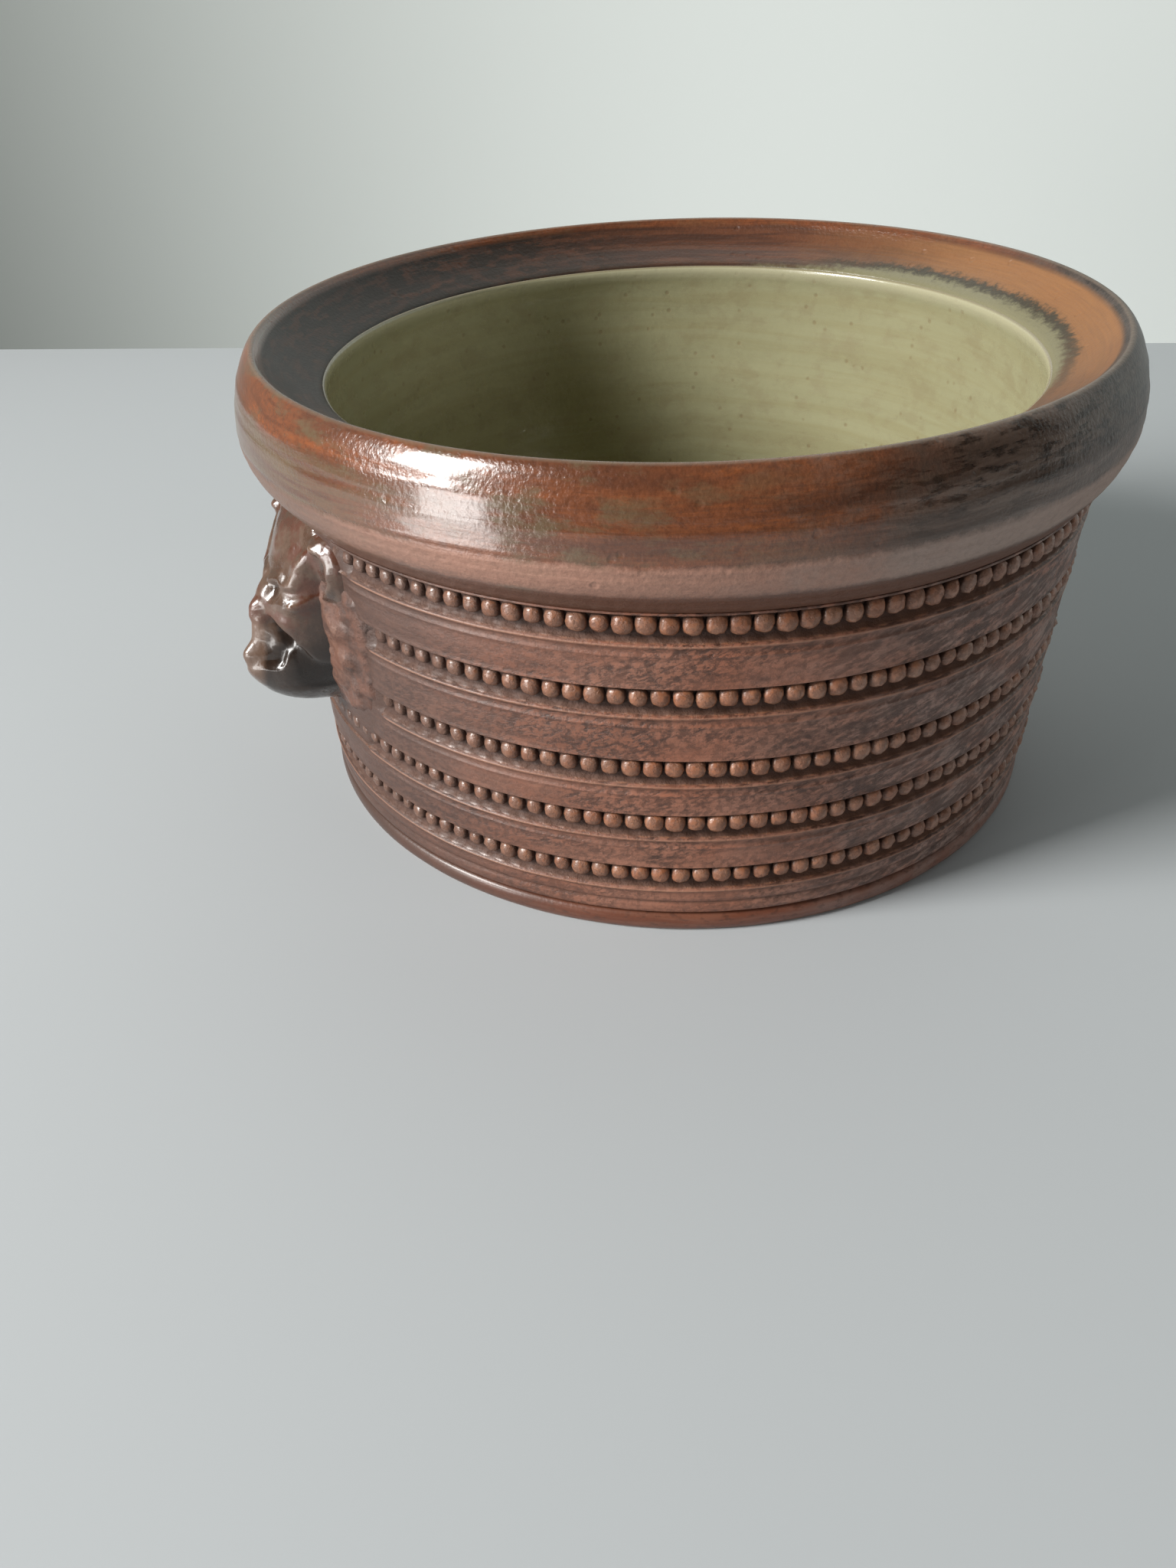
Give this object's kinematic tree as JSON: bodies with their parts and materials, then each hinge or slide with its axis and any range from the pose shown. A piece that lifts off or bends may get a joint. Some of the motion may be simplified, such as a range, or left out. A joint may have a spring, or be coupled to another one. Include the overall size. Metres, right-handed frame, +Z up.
{
  "type": "stoneware plant pot",
  "caption": "Round salt-glazed stoneware plant pot with a heavy rolled rim, pearl-beaded bands, an olive glazed inside and an applied animal mask.",
  "frame": {"origin": "on the pot's axis, at the middle of the flat underside of its base", "axes": "+Z up along the pot's axis, -Y towards the front, where the animal mask faces, +X to the right seen from the front"},
  "size_m": [0.1998, 0.2079, 0.1059],
  "materials": {
    "foot_clay": "red-brown salt-glazed foot, satin with a glossy sheen",
    "wall_clay": "red-brown stoneware with mauve-grey satin bloom and fine dark mottling",
    "pearl_clay": "lighter orange-brown satin pearls, dark between them",
    "rim_glaze": "glossy salt glaze, rust streaks, dark patches and a mauve band below",
    "olive_glaze": "glossy pale olive glaze with fine brown specks",
    "pad_clay": "smeared lumpy grey-brown clay, satin",
    "mask_glaze": "dark brown glossy salt glaze"
  },
  "bodies": {
    "root": {"base_slab": "foot_clay", "pot_wall": "wall_clay", "pearl_band_1": "pearl_clay", "pearl_band_2": "pearl_clay", "pearl_band_3": "pearl_clay", "pearl_band_4": "pearl_clay", "pearl_band_5": "pearl_clay", "rolled_rim": "rim_glaze", "glaze_lining": "olive_glaze", "mask_luting_pad": "pad_clay", "animal_mask": "mask_glaze"}
  },
  "joints": []
}
